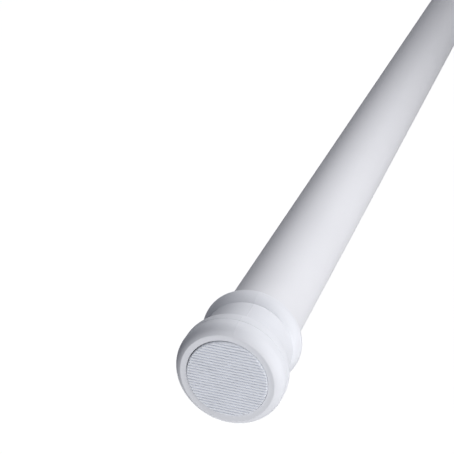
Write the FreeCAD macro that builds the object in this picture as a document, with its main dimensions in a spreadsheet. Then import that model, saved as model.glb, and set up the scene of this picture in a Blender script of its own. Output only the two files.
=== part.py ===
import FreeCAD, Part

# Spring tension rod for curtains: two telescoping steel tubes with a padded cap on each end.
# A twist lock grips the bore of the outer tube, and a spring behind the lock presses the caps
# against the two walls.
#
# Frame: the rod lies along +X, and the origin is the middle of the first pad's face.
# +Z is up, so the pads' ribs run level along Y. Lengths are in millimetres.

import math
import os
from collections import namedtuple

import Sketcher

# Driving sizes: alias, value, meaning
SIZES = (
    ("outer_diameter", 25.4, "outside of the outer tube"),
    ("outer_wall", 0.8, "wall of the outer tube"),
    ("outer_length", 675.0, "length of the outer tube"),
    ("tube_gap", 0.8, "gap per side between the two tubes"),
    ("inner_wall", 0.7, "wall of the inner tube"),
    ("inner_length", 640.0, "length of the inner tube"),
    ("inner_shown", 89.3, "inner tube that shows as stored, from the sleeve to the second cap"),
    ("lock_margin", 10.0, "least room between the first cap and the lock as stored"),
    ("spring_stroke", 30.0, "travel of the inner tube against its spring"),
    ("press_gap", 0.05, "gap per side of glued or pressed pieces"),
    ("running_gap", 0.1, "gap per side of pieces that turn or slide on each other"),
    ("free_gap", 0.3, "gap between pieces that only pass each other"),
    ("pad_overhang", 0.1, "how much wider than the outer tube the ribbed pad is, per side"),
    ("pad_thickness", 2.5, "ribbed pad, front to back"),
    ("pad_proud", 0.5, "how far the pad stands out of the cap's face"),
    ("rib_pitch", 0.95, "rib to rib on the pad"),
    ("rib_groove_width", 0.42, "width of the grooves between the ribs at the face"),
    ("rib_groove_depth", 0.35, "depth of the grooves between the ribs"),
    ("cap_length", 28.2, "cap, from its flat face to its rear rim"),
    ("cap_floor", 2.5, "cap floor between the pad and the tube's end"),
    ("shoulder_length", 3.6, "rounded shoulder from the face to the flange's crest, along the rod"),
    ("shoulder_rise", 2.5, "height of that shoulder"),
    ("crest_length", 4.0, "straight crest of the flange"),
    ("lip_round", 2.0, "rear rounding of the flange"),
    ("lip_flat", 0.1, "flat between that rounding and the hollow one at the neck"),
    ("neck_round", 1.0, "hollow rounding between the flange and the neck"),
    ("neck_flare", 0.5, "how much the neck widens up to the collar's crease, per side"),
    ("collar_run", 4.1, "crease to the collar's crest, along the rod"),
    ("collar_rise", 1.75, "crease to the collar's crest, outwards"),
    ("collar_round", 2.8, "rear rounding of the collar"),
    ("collar_flat", 0.4, "flat rear rim between that rounding and the socket's chamfer"),
    ("socket_chamfer", 0.4, "chamfer of the cap's socket at its mouth"),
    ("curve_chords", 4.0, "chords in each curve of the cap's outline"),
    ("sleeve_grip", 12.0, "length of the mouth sleeve on the outer tube"),
    ("sleeve_wall", 1.2, "wall of the mouth sleeve"),
    ("sleeve_lip", 2.0, "thickness of the sleeve's lip before the tube's end"),
    ("sleeve_chamfer", 0.6, "chamfer of the sleeve's outer edges"),
    ("bush_length", 20.0, "length of the guide bush inside the inner tube"),
    ("bush_flange", 2.0, "thickness of the guide bush's flange"),
    ("shaft_flats", 8.0, "plunger shaft, across its hexagon's flats"),
    ("cheek_radius", 8.5, "cheek of the plunger behind the cam"),
    ("cheek_thickness", 3.0, "thickness of that cheek"),
    ("stroke_reserve", 1.0, "room left between the cheek and the bush at full stroke"),
    ("cam_wall", 1.45, "thinnest wall of the eccentric core around the shaft"),
    ("cam_offset", 1.5, "offset of the eccentric core from the rod's axis"),
    ("cam_length", 12.0, "length of the eccentric core"),
    ("ring_gap", 0.7, "gap between the cam ring and the bore before it locks"),
    ("ring_slit", 1.6, "width of the slit in the cam ring"),
    ("nose_radius", 3.0, "round nose of the plunger that carries the guide disc"),
    ("washer_thickness", 1.0, "thrust washer between the cam and the guide disc"),
    ("washer_radius", 8.5, "outer radius of the thrust washer"),
    ("disc_length", 8.0, "length of the guide disc"),
    ("disc_web", 3.0, "thickness of the guide disc's web"),
    ("disc_wall", 1.6, "wall of the guide disc's rim"),
    ("finger_count", 6.0, "spring fingers around the guide disc"),
    ("finger_slit", 1.6, "slit between two fingers"),
    ("screw_radius", 1.6, "shank of the lock and stop screws"),
    ("screw_length", 10.0, "shank length of those screws"),
    ("screw_hole_reserve", 1.0, "how much deeper than the shank their holes are"),
    ("screw_head_radius", 4.6, "head radius of those screws"),
    ("screw_head_height", 2.4, "head height of those screws"),
    ("screw_head_chamfer", 0.6, "chamfer of the heads"),
    ("screw_slot_width", 1.0, "slot in the heads"),
    ("screw_slot_depth", 1.0, "depth of that slot"),
    ("stop_thickness", 2.0, "stop washer at the plunger's tail"),
    ("spring_length", 95.0, "length of the spring as stored"),
    ("spring_gap", 1.1, "gap between the spring and the inner tube"),
    ("spring_wire", 1.8, "diameter of the spring's wire"),
    ("spring_turns", 7.0, "open turns of the spring"),
    ("spring_closed_turns", 1.0, "closed turns at each end of the spring"),
    ("seat_length", 8.0, "length of the spring seat in the inner tube"),
    ("spigot_length", 6.0, "length of the seat's spigot inside the spring"),
    ("spigot_gap", 0.5, "gap per side between the spigot and the spring"),
    ("seat_pin_radius", 1.5, "pin that holds the spring seat in the inner tube"),
    ("reducer_chamfer", 0.4, "chamfer of the reducer bush at its mouth"),
)

# Sizes that follow from the driving ones: alias, formula, meaning
FITS = (
    ("outer_radius", "Sizes.outer_diameter / 2", "outside of the outer tube"),
    ("outer_bore", "outer_radius - Sizes.outer_wall", "bore of the outer tube"),
    ("inner_radius", "outer_bore - Sizes.tube_gap", "outside of the inner tube"),
    ("inner_bore", "inner_radius - Sizes.inner_wall", "bore of the inner tube"),
    ("pad_radius", "outer_radius + Sizes.pad_overhang", "outside of the pads"),
    ("grooves_per_half", "floor(pad_radius / Sizes.rib_pitch)", "grooves above the middle rib"),
    ("groove_count", "2 * grooves_per_half", "grooves across the pad"),
    ("groove_first", "-(grooves_per_half - 1 / 2) * Sizes.rib_pitch", "middle of the lowest groove"),
    ("recess_radius", "pad_radius + Sizes.press_gap", "recess in the cap that holds the pad"),
    ("recess_depth", "Sizes.pad_thickness - Sizes.pad_proud", "depth of that recess"),
    ("socket_floor", "recess_depth + Sizes.cap_floor", "cap's face to the floor of its socket"),
    ("socket_radius", "outer_radius + Sizes.press_gap", "socket of both caps"),
    ("rim_radius", "socket_radius + Sizes.socket_chamfer + Sizes.collar_flat",
     "outer edge of the cap's rear rim"),
    ("collar_radius", "rim_radius + Sizes.collar_round", "widest radius of the rear collar"),
    ("collar_crest", "Sizes.cap_length - Sizes.collar_round", "widest place of the collar"),
    ("collar_bow", "(Sizes.collar_run ^ 2 + Sizes.collar_rise ^ 2) / (2 * Sizes.collar_rise)",
     "arc that meets the collar's crest without a corner"),
    ("collar_turn", "2 * atan(Sizes.collar_rise / Sizes.collar_run) / 1 deg", "degrees that arc turns"),
    ("crease_place", "collar_crest - Sizes.collar_run", "face to the crease between neck and collar"),
    ("crease_radius", "collar_radius - Sizes.collar_rise", "radius at the crease"),
    ("neck_radius", "crease_radius - Sizes.neck_flare", "smallest radius of the neck"),
    ("lip_radius", "neck_radius + Sizes.neck_round + Sizes.lip_flat",
     "inner end of the flange's rear rounding"),
    ("lip_place", "Sizes.shoulder_length + Sizes.crest_length", "face to the end of the flange's crest"),
    ("lip_end", "lip_place + Sizes.lip_round", "rear face of the flange"),
    ("flange_radius", "lip_radius + Sizes.lip_round", "widest radius of the front flange"),
    ("face_radius", "flange_radius - Sizes.shoulder_rise", "outer edge of the cap's flat face"),
    ("shoulder_bow", "(Sizes.shoulder_length ^ 2 + Sizes.shoulder_rise ^ 2) / (2 * Sizes.shoulder_rise)",
     "arc that meets the flange's crest without a corner"),
    ("shoulder_turn", "2 * atan(Sizes.shoulder_rise / Sizes.shoulder_length) / 1 deg",
     "degrees that arc turns"),
    ("tube_seat", "Sizes.pad_thickness + Sizes.cap_floor", "pad face to the tube's end"),
    ("mouth_place", "tube_seat + Sizes.outer_length", "mouth of the outer tube"),
    ("sleeve_bore", "inner_radius + Sizes.free_gap", "bore of the sleeve's lip"),
    ("sleeve_radius", "socket_radius + Sizes.sleeve_wall", "outside of the mouth sleeve"),
    ("sleeve_reach", "mouth_place + Sizes.sleeve_lip + Sizes.inner_shown + Sizes.cap_length + Sizes.pad_proud",
     "pad face to pad face, from the pieces that show"),
    ("lock_length", "Sizes.bush_flange + Sizes.stroke_reserve + Sizes.spring_stroke"
     " + Sizes.cheek_thickness + Sizes.cam_length + Sizes.washer_thickness + Sizes.free_gap"
     " + Sizes.disc_length", "lock, in front of the inner tube"),
    ("lock_reach", "2 * tube_seat + Sizes.lock_margin + lock_length + Sizes.inner_length",
     "pad face to pad face, with the lock as close to the first cap as it may be"),
    ("rest_reach", "max(sleeve_reach; lock_reach)", "pad face to pad face as stored"),
    ("inner_start", "rest_reach - tube_seat - Sizes.inner_length", "inner end of the inner tube"),
    ("bush_radius", "inner_bore - Sizes.press_gap", "guide bush and spring seat in the inner tube"),
    ("bush_flange_radius", "outer_bore - Sizes.free_gap", "flange that centres the inner tube"),
    ("bush_flats", "Sizes.shaft_flats + 2 * Sizes.running_gap", "hexagon through the guide bush"),
    ("cheek_place", "inner_start - Sizes.bush_flange - Sizes.stroke_reserve - Sizes.spring_stroke",
     "rear face of the plunger's cheek"),
    ("shaft_end", "inner_start + Sizes.bush_length + Sizes.free_gap", "tail end of the plunger's shaft"),
    ("shaft_length", "shaft_end - cheek_place", "cheek to tail end"),
    ("core_flats", "Sizes.shaft_flats + 2 * Sizes.press_gap", "hexagon through the eccentric core"),
    ("cam_radius", "core_flats / 2 + Sizes.cam_offset + Sizes.cam_wall",
     "radius of the eccentric core"),
    ("core_end", "cheek_place - Sizes.cheek_thickness - Sizes.cam_length", "front face of the core"),
    ("ring_radius", "outer_bore - Sizes.ring_gap", "outside of the cam ring"),
    ("ring_bore", "cam_radius + Sizes.running_gap", "bore of the cam ring"),
    ("ring_length", "Sizes.cam_length - 2 * Sizes.free_gap", "length of the cam ring"),
    ("ring_place", "core_end + Sizes.free_gap", "front face of the cam ring"),
    ("washer_place", "core_end - Sizes.washer_thickness", "front face of the thrust washer"),
    ("washer_bore", "Sizes.nose_radius + Sizes.press_gap", "bore of the thrust washer"),
    ("disc_place", "washer_place - Sizes.free_gap", "rear face of the guide disc"),
    ("disc_radius", "outer_bore - Sizes.running_gap", "outside of the guide disc"),
    ("disc_bore", "Sizes.nose_radius + Sizes.running_gap", "bore of the guide disc"),
    ("nose_length", "Sizes.washer_thickness + Sizes.disc_web + 2 * Sizes.free_gap",
     "length of the plunger's nose"),
    ("lock_screw_place", "core_end - nose_length", "front end of the plunger, under the screw's head"),
    ("screw_hole", "Sizes.screw_radius + Sizes.press_gap", "holes for the screws"),
    ("screw_hole_depth", "Sizes.screw_length + Sizes.screw_hole_reserve", "depth of the screw holes"),
    ("stop_radius", "inner_bore - Sizes.free_gap", "outside of the stop washer"),
    ("stop_screw_place", "shaft_end + Sizes.stop_thickness", "rear face of the stop washer"),
    ("spring_place", "stop_screw_place + Sizes.press_gap", "front end of the spring"),
    ("seat_place", "spring_place + Sizes.spring_length", "front face of the spring seat"),
    ("spring_radius", "inner_bore - Sizes.spring_gap - Sizes.spring_wire / 2",
     "mean radius of the spring"),
    ("spigot_radius", "spring_radius - Sizes.spring_wire / 2 - Sizes.spigot_gap",
     "spigot of the spring seat"),
    ("seat_pin_place", "seat_place + Sizes.seat_length / 2", "axis of the seat's pin"),
    ("seat_pin_hole", "Sizes.seat_pin_radius + Sizes.press_gap", "holes for that pin"),
    ("seat_pin_length", "2 * sqrt(inner_radius ^ 2 - Sizes.seat_pin_radius ^ 2) - 2 * Sizes.press_gap",
     "pin that stays inside the round of the inner tube"),
    ("reducer_length", "Sizes.cap_length - socket_floor", "reducer bush in the second cap"),
    ("reducer_radius", "socket_radius - Sizes.press_gap", "outside of the reducer bush"),
    ("reducer_bore", "inner_radius + Sizes.press_gap", "bore of the reducer bush"),
    ("first_face", "Sizes.pad_proud", "flat face of the first cap"),
    ("second_face", "rest_reach - Sizes.pad_proud", "flat face of the second cap"),
    ("reducer_place", "second_face - Sizes.cap_length", "mouth of the second cap"),
)

# Numbers by which a sketch knows the points of a line or arc, its axes and its origin
START, END, CENTRE = range(1, 4)
HORIZONTAL_AXIS, VERTICAL_AXIS = range(-1, -3, -1)
ORIGIN = (HORIZONTAL_AXIS, START)

HEXAGON_SIDES = 6
STEPS_PER_TURN = 12
FULL_TURN = math.degrees(math.tau)
UPWARDS = FULL_TURN / 4
PLANE_OF_AXIS = "XY_Plane"
PLANE_OF_SECTION = "YZ_Plane"
PLANE_UPRIGHT = "XZ_Plane"

# One corner of an outline, as two expressions
Corner = namedtuple("Corner", "across up")

document = FreeCAD.newDocument("spring_tension_rod")


def fill_sheet(name, rows, prefix=""):
    """Write one row per size: its alias, its value or formula, and what it means."""
    sheet = document.addObject("Spreadsheet::Sheet", name)
    for row, (alias, content, meaning) in enumerate(rows, start=1):
        sheet.set(f"A{row}", alias)
        sheet.set(f"B{row}", f"{prefix}{content}")
        sheet.set(f"C{row}", meaning)
        sheet.setAlias(f"B{row}", alias)
    document.recompute()
    return sheet


sizes = fill_sheet("Sizes", SIZES)
fits = fill_sheet("Fits", FITS, prefix="=")


def value(expression):
    """Return what an expression over the two sheets comes to."""
    return float(fits.evalExpression(expression))


def vector(across, up=0.0, deep=0.0):
    """Return a point of a sketch, or of space."""
    return FreeCAD.Vector(across, up, deep)


def new_body(label, place=None, turned_round=False):
    """Make a body whose place along the rod follows an expression."""
    body = document.addObject("PartDesign::Body", label)
    body.Label = label
    if turned_round:
        body.Placement = FreeCAD.Placement(vector(0), FreeCAD.Rotation(vector(0, 0, 1), FULL_TURN / 2))
    if place:
        body.setExpression("Placement.Base.x", place)
    return body


def new_sketch(body, name, plane, lift=None):
    """Attach a sketch to one of its body's origin planes, lifted by an expression if given."""
    sketch = body.newObject("Sketcher::SketchObject", name)
    support = next(item for item in body.Origin.OriginFeatures if item.Role == plane)
    sketch.AttachmentSupport = [(support, "")]
    sketch.MapMode = "FlatFace"
    if lift:
        sketch.setExpression("AttachmentOffset.Base.z", lift)
    return sketch


def bind(sketch, kind, *target, to):
    """Add a dimension to a sketch and let it follow an expression."""
    if to == "0":
        axis = VERTICAL_AXIS if kind == "DistanceX" else HORIZONTAL_AXIS
        sketch.addConstraint(Sketcher.Constraint("PointOnObject", *target[-2:], axis))
        return
    index = sketch.addConstraint(Sketcher.Constraint(kind, *target, value(to)))
    sketch.setExpression(f"Constraints[{index}]", to)


def pin_down(sketch, geometry, point, corner):
    """Fix one point of a sketch at its corner's two expressions."""
    bind(sketch, "DistanceX", *ORIGIN, geometry, point, to=corner.across)
    bind(sketch, "DistanceY", *ORIGIN, geometry, point, to=corner.up)


def draw_outline(sketch, corners):
    """Draw a closed outline from its corners, each fixed by its two expressions."""
    points = [vector(value(corner.across), value(corner.up)) for corner in corners]
    lines = []
    for i, point in enumerate(points):
        after = points[(i + 1) % len(points)]
        lines.append(sketch.addGeometry(Part.LineSegment(point, after)))
    for i, corner in enumerate(corners):
        sketch.addConstraint(Sketcher.Constraint("Coincident", lines[i - 1], END, lines[i], START))
        pin_down(sketch, lines[i], START, corner)


def curve(across, up, radius, start="0", turn=UPWARDS):
    """Return the corners of an arc's chords, from its centre, its radius and its angles."""
    chords = round(value("Sizes.curve_chords"))
    corners = []
    for step in range(chords + 1):
        angle = f"({start} + {turn} * {step} / {chords})"
        corners.append(Corner(f"{across} + {radius} * cos({angle})", f"{up} + {radius} * sin({angle})"))
    return corners


def draw_circle(sketch, radius, across="0", up="0"):
    """Draw a circle with its centre and radius as expressions."""
    centre = vector(value(across), value(up))
    number = sketch.addGeometry(Part.Circle(centre, vector(0, 0, 1), value(radius)))
    pin_down(sketch, number, CENTRE, Corner(across, up))
    bind(sketch, "Radius", number, to=radius)


def box_corners(low, high, left, right):
    """Return the corners of an upright rectangle, counter-clockwise."""
    return [Corner(left, low), Corner(right, low), Corner(right, high), Corner(left, high)]


def hexagon_corners(flats):
    """Return the corners of a hexagon with two flats level, counter-clockwise."""
    corners = []
    for side in range(HEXAGON_SIDES):
        angle = FULL_TURN / HEXAGON_SIDES * side
        reach = f"({flats}) / sqrt(3)"
        across = f"{reach} * cos({angle})"
        up = "0" if side % (HEXAGON_SIDES // 2) == 0 else f"{reach} * sin({angle})"
        corners.append(Corner(across, up))
    return corners


def revolve(body, corners, name="turned"):
    """Turn an outline, drawn above the rod's axis, once around that axis."""
    sketch = new_sketch(body, f"{body.Label}_{name}_outline", PLANE_OF_AXIS)
    draw_outline(sketch, corners)
    feature = body.newObject("PartDesign::Revolution", f"{body.Label}_{name}")
    feature.Profile = sketch
    feature.ReferenceAxis = (sketch, ["H_Axis"])
    feature.Angle = FULL_TURN
    return feature


def extrude(body, sketch, length, backwards=False):
    """Extrude a sketch along the rod by an expression."""
    feature = body.newObject("PartDesign::Pad", f"{sketch.Label}_pad")
    feature.Profile = sketch
    feature.setExpression("Length", length)
    feature.Reversed = backwards
    return feature


def cut_through(body, sketch):
    """Cut a sketch through the body on both sides of its plane."""
    feature = body.newObject("PartDesign::Pocket", f"{sketch.Label}_cut")
    feature.Profile = sketch
    feature.SideType = "Symmetric"
    feature.Type = "ThroughAll"
    return feature


def check_cut(body, before):
    """Stop if a cut took nothing away from a body."""
    document.recompute()
    if not body.Shape.Volume < before:
        raise ValueError(f"{body.Label}: a cut removed nothing")


def make_cap(label, face, turned_round=False):
    """Moulded end cap: pad recess, front flange, neck, and the collar around the tube."""
    body = new_body(label, face, turned_round)
    revolve(body, [
        Corner("Fits.recess_depth", "0"),
        Corner("Fits.socket_floor", "0"),
        Corner("Fits.socket_floor", "Fits.socket_radius"),
        Corner("Sizes.cap_length - Sizes.socket_chamfer", "Fits.socket_radius"),
        Corner("Sizes.cap_length", "Fits.socket_radius + Sizes.socket_chamfer"),
        *curve("Fits.collar_crest", "Fits.rim_radius", "Sizes.collar_round"),
        *curve("Fits.collar_crest", "(Fits.collar_radius - Fits.collar_bow)", "Fits.collar_bow",
               UPWARDS, "Fits.collar_turn")[1:],
        *curve("(Fits.lip_end + Sizes.neck_round)", "(Fits.neck_radius + Sizes.neck_round)",
               "Sizes.neck_round", -UPWARDS, -UPWARDS),
        *curve("Fits.lip_place", "Fits.lip_radius", "Sizes.lip_round"),
        *curve("Sizes.shoulder_length", "(Fits.flange_radius - Fits.shoulder_bow)", "Fits.shoulder_bow",
               UPWARDS, "Fits.shoulder_turn"),
        Corner("0", "Fits.recess_radius"),
        Corner("Fits.recess_depth", "Fits.recess_radius"),
    ])
    return body


def make_pad(label, place=None, turned_round=False):
    """Soft disc in the cap's face, with level ribs across its front."""
    body = new_body(label, place, turned_round)
    revolve(body, [
        Corner("0", "0"),
        Corner("Sizes.pad_thickness", "0"),
        Corner("Sizes.pad_thickness", "Fits.pad_radius"),
        Corner("0", "Fits.pad_radius"),
    ])
    document.recompute()
    before = body.Shape.Volume
    sketch = new_sketch(body, f"{label}_groove_outline", PLANE_UPRIGHT)
    half = "Sizes.rib_groove_width / 2"
    draw_outline(sketch, [
        Corner("-Sizes.rib_groove_depth", f"Fits.groove_first - {half}"),
        Corner("Sizes.rib_groove_depth", f"Fits.groove_first - {half} / 2"),
        Corner("Sizes.rib_groove_depth", f"Fits.groove_first + {half} / 2"),
        Corner("-Sizes.rib_groove_depth", f"Fits.groove_first + {half}"),
    ])
    groove = cut_through(body, sketch)
    check_cut(body, before)
    pattern = body.newObject("PartDesign::LinearPattern", f"{label}_grooves")
    pattern.Originals = [groove]
    pattern.Direction = (sketch, ["V_Axis"])
    pattern.Mode = "Spacing"
    pattern.setExpression("Offset", "Sizes.rib_pitch")
    pattern.setExpression("Occurrences", "Fits.groove_count")
    body.Tip = pattern
    return body


def make_tube(label, place, radius, bore, length):
    """Round steel tube."""
    body = new_body(label, place)
    sketch = new_sketch(body, f"{label}_section", PLANE_OF_SECTION)
    draw_circle(sketch, radius)
    draw_circle(sketch, bore)
    extrude(body, sketch, length)
    return body


def make_outer_tube():
    """Outer tube, from the floor of the first cap to its open mouth."""
    return make_tube("outer_tube", "Fits.tube_seat", "Fits.outer_radius", "Fits.outer_bore",
                     "Sizes.outer_length")


def make_inner_tube():
    """Inner tube, with two holes for the pin of the spring seat."""
    body = make_tube("inner_tube", "Fits.inner_start", "Fits.inner_radius", "Fits.inner_bore",
                     "Sizes.inner_length")
    drill_for_seat_pin(body, "Fits.seat_pin_place - Fits.inner_start")
    return body


def drill_for_seat_pin(body, along):
    """Drill the upright hole for the seat's pin through a body."""
    document.recompute()
    before = body.Shape.Volume
    sketch = new_sketch(body, f"{body.Label}_pin_hole", PLANE_OF_AXIS)
    draw_circle(sketch, "Fits.seat_pin_hole", across=along)
    cut_through(body, sketch)
    check_cut(body, before)


def make_mouth_sleeve():
    """Plastic sleeve on the outer tube's mouth that centres the inner tube."""
    body = new_body("mouth_sleeve", "Fits.mouth_place")
    revolve(body, [
        Corner("-Sizes.sleeve_grip", "Fits.socket_radius"),
        Corner("0", "Fits.socket_radius"),
        Corner("0", "Fits.sleeve_bore"),
        Corner("Sizes.sleeve_lip", "Fits.sleeve_bore"),
        Corner("Sizes.sleeve_lip", "Fits.sleeve_radius - Sizes.sleeve_chamfer"),
        Corner("Sizes.sleeve_lip - Sizes.sleeve_chamfer", "Fits.sleeve_radius"),
        Corner("Sizes.sleeve_chamfer - Sizes.sleeve_grip", "Fits.sleeve_radius"),
        Corner("-Sizes.sleeve_grip", "Fits.sleeve_radius - Sizes.sleeve_chamfer"),
    ])
    return body


def make_reducer_bush():
    """Bush that fills the second cap's socket around the thinner inner tube."""
    body = new_body("reducer_bush", "Fits.reducer_place")
    revolve(body, [
        Corner("Sizes.reducer_chamfer", "Fits.reducer_bore"),
        Corner("Fits.reducer_length", "Fits.reducer_bore"),
        Corner("Fits.reducer_length", "Fits.reducer_radius"),
        Corner("0", "Fits.reducer_radius"),
        Corner("0", "Fits.reducer_bore + Sizes.reducer_chamfer"),
    ])
    return body


def make_guide_bush():
    """Bush in the inner tube's inner end, with a hexagonal hole for the plunger."""
    body = new_body("guide_bush", "Fits.inner_start")
    revolve(body, [
        Corner("-Sizes.bush_flange", "0"),
        Corner("Sizes.bush_length", "0"),
        Corner("Sizes.bush_length", "Fits.bush_radius"),
        Corner("0", "Fits.bush_radius"),
        Corner("0", "Fits.bush_flange_radius"),
        Corner("-Sizes.bush_flange", "Fits.bush_flange_radius"),
    ])
    document.recompute()
    before = body.Shape.Volume
    sketch = new_sketch(body, "guide_bush_hexagon", PLANE_OF_SECTION)
    draw_outline(sketch, hexagon_corners("Fits.bush_flats"))
    cut_through(body, sketch)
    check_cut(body, before)
    return body


def drill_for_screw(body, mouth, backwards):
    """Drill a blind hole for a screw into one end of the plunger."""
    document.recompute()
    before = body.Shape.Volume
    side = "tail" if backwards else "nose"
    sketch = new_sketch(body, f"{body.Label}_{side}_hole", PLANE_OF_SECTION, lift=mouth)
    draw_circle(sketch, "Fits.screw_hole")
    feature = body.newObject("PartDesign::Pocket", f"{sketch.Label}_cut")
    feature.Profile = sketch
    feature.setExpression("Length", "Fits.screw_hole_depth")
    feature.Reversed = not backwards
    check_cut(body, before)


def make_plunger():
    """Plunger: hexagonal shaft, cheek, the core's drive and the round nose."""
    body = new_body("plunger", "Fits.cheek_place")
    section = new_sketch(body, "plunger_shaft_section", PLANE_OF_SECTION, lift="Fits.core_end - Fits.cheek_place")
    draw_outline(section, hexagon_corners("Sizes.shaft_flats"))
    extrude(body, section, "Fits.shaft_end - Fits.core_end")
    revolve(body, [
        Corner("-Sizes.cheek_thickness", "0"),
        Corner("0", "0"),
        Corner("0", "Sizes.cheek_radius"),
        Corner("-Sizes.cheek_thickness", "Sizes.cheek_radius"),
    ], name="cheek")
    front = "Fits.core_end - Fits.cheek_place"
    revolve(body, [
        Corner(f"{front} - Fits.nose_length", "0"),
        Corner(front, "0"),
        Corner(front, "Sizes.nose_radius"),
        Corner(f"{front} - Fits.nose_length", "Sizes.nose_radius"),
    ], name="nose")
    drill_for_screw(body, f"{front} - Fits.nose_length", backwards=False)
    drill_for_screw(body, "Fits.shaft_length", backwards=True)
    return body


def make_cam_core():
    """Eccentric core, pressed on the plunger's hexagon."""
    body = new_body("cam_core", "Fits.core_end")
    sketch = new_sketch(body, "cam_core_section", PLANE_OF_SECTION)
    draw_circle(sketch, "Fits.cam_radius", up="Sizes.cam_offset")
    draw_outline(sketch, hexagon_corners("Fits.core_flats"))
    extrude(body, sketch, "Sizes.cam_length")
    return body


def make_cam_ring():
    """Split ring around the eccentric core, pushed against the outer tube's bore to lock."""
    body = new_body("cam_ring", "Fits.ring_place")
    sketch = new_sketch(body, "cam_ring_section", PLANE_OF_SECTION)
    draw_circle(sketch, "Fits.ring_radius")
    draw_circle(sketch, "Fits.ring_bore", up="Sizes.cam_offset")
    extrude(body, sketch, "Fits.ring_length")
    document.recompute()
    before = body.Shape.Volume
    slit = new_sketch(body, "cam_ring_slit", PLANE_OF_SECTION)
    draw_outline(slit, box_corners("Sizes.cam_offset", "Fits.outer_bore",
                                   "-Sizes.ring_slit / 2", "Sizes.ring_slit / 2"))
    cut_through(body, slit)
    check_cut(body, before)
    return body


def make_washer(label, place, radius, bore, thickness):
    """Flat washer."""
    body = new_body(label, place)
    sketch = new_sketch(body, f"{label}_section", PLANE_OF_SECTION)
    draw_circle(sketch, radius)
    draw_circle(sketch, bore)
    extrude(body, sketch, thickness)
    return body


def make_guide_disc():
    """Slotted disc that slides in the outer tube's bore and carries the plunger's nose."""
    body = new_body("guide_disc", "Fits.disc_place")
    rim = "Fits.disc_radius - Sizes.disc_wall"
    revolve(body, [
        Corner("-Sizes.disc_web", "Fits.disc_bore"),
        Corner("0", "Fits.disc_bore"),
        Corner("0", "Fits.disc_radius"),
        Corner("-Sizes.disc_length", "Fits.disc_radius"),
        Corner("-Sizes.disc_length", rim),
        Corner("-Sizes.disc_web", rim),
    ])
    document.recompute()
    before = body.Shape.Volume
    sketch = new_sketch(body, "guide_disc_slit", PLANE_OF_AXIS)
    draw_outline(sketch, box_corners("0", "Fits.outer_bore",
                                     "-Sizes.disc_length - Sizes.disc_web", "-Sizes.disc_web"))
    slit = body.newObject("PartDesign::Pocket", "guide_disc_slit_cut")
    slit.Profile = sketch
    slit.SideType = "Symmetric"
    slit.setExpression("Length", "Sizes.finger_slit")
    check_cut(body, before)
    pattern = body.newObject("PartDesign::PolarPattern", "guide_disc_fingers")
    pattern.Originals = [slit]
    pattern.Axis = (sketch, ["H_Axis"])
    pattern.Angle = FULL_TURN
    pattern.setExpression("Occurrences", "Sizes.finger_count")
    body.Tip = pattern
    return body


def make_screw(label, place, turned_round=False):
    """Slotted screw, its head towards -X and its seat at its own origin."""
    body = new_body(label, place, turned_round)
    revolve(body, [
        Corner("-Sizes.screw_head_height", "0"),
        Corner("Sizes.screw_length", "0"),
        Corner("Sizes.screw_length", "Sizes.screw_radius"),
        Corner("0", "Sizes.screw_radius"),
        Corner("0", "Sizes.screw_head_radius"),
        Corner("Sizes.screw_head_chamfer - Sizes.screw_head_height", "Sizes.screw_head_radius"),
        Corner("-Sizes.screw_head_height", "Sizes.screw_head_radius - Sizes.screw_head_chamfer"),
    ])
    document.recompute()
    before = body.Shape.Volume
    sketch = new_sketch(body, f"{label}_slot", PLANE_UPRIGHT)
    draw_outline(sketch, box_corners("-Sizes.screw_slot_width / 2", "Sizes.screw_slot_width / 2",
                                     "-Sizes.screw_head_height - Sizes.screw_slot_depth",
                                     "-Sizes.screw_head_height + Sizes.screw_slot_depth"))
    cut_through(body, sketch)
    check_cut(body, before)
    return body


def make_spring_seat():
    """Seat of the spring in the inner tube, with a spigot inside the spring's last coils."""
    body = new_body("spring_seat", "Fits.seat_place")
    revolve(body, [
        Corner("-Sizes.spigot_length", "0"),
        Corner("Sizes.seat_length", "0"),
        Corner("Sizes.seat_length", "Fits.bush_radius"),
        Corner("0", "Fits.bush_radius"),
        Corner("0", "Fits.spigot_radius"),
        Corner("-Sizes.spigot_length", "Fits.spigot_radius"),
    ])
    drill_for_seat_pin(body, "Sizes.seat_length / 2")
    return body


def make_seat_pin():
    """Pin that holds the spring seat, level with the outside of the inner tube."""
    body = new_body("seat_pin", "Fits.seat_pin_place")
    sketch = new_sketch(body, "seat_pin_section", PLANE_OF_AXIS)
    draw_circle(sketch, "Sizes.seat_pin_radius")
    feature = extrude(body, sketch, "Fits.seat_pin_length")
    feature.SideType = "Symmetric"
    return body


def coil_section(along, turned, radius, wire):
    """Return the spring wire's section, a hexagon, at one place of the coil."""
    outwards = vector(0, math.cos(turned), math.sin(turned))
    middle = vector(along) + outwards * radius
    corners = []
    for side in range(HEXAGON_SIDES + 1):
        angle = math.radians(FULL_TURN / HEXAGON_SIDES * side)
        corners.append(middle + outwards * (wire / 2 * math.cos(angle)) + vector(wire / 2 * math.sin(angle)))
    return Part.makePolygon(corners)


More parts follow.
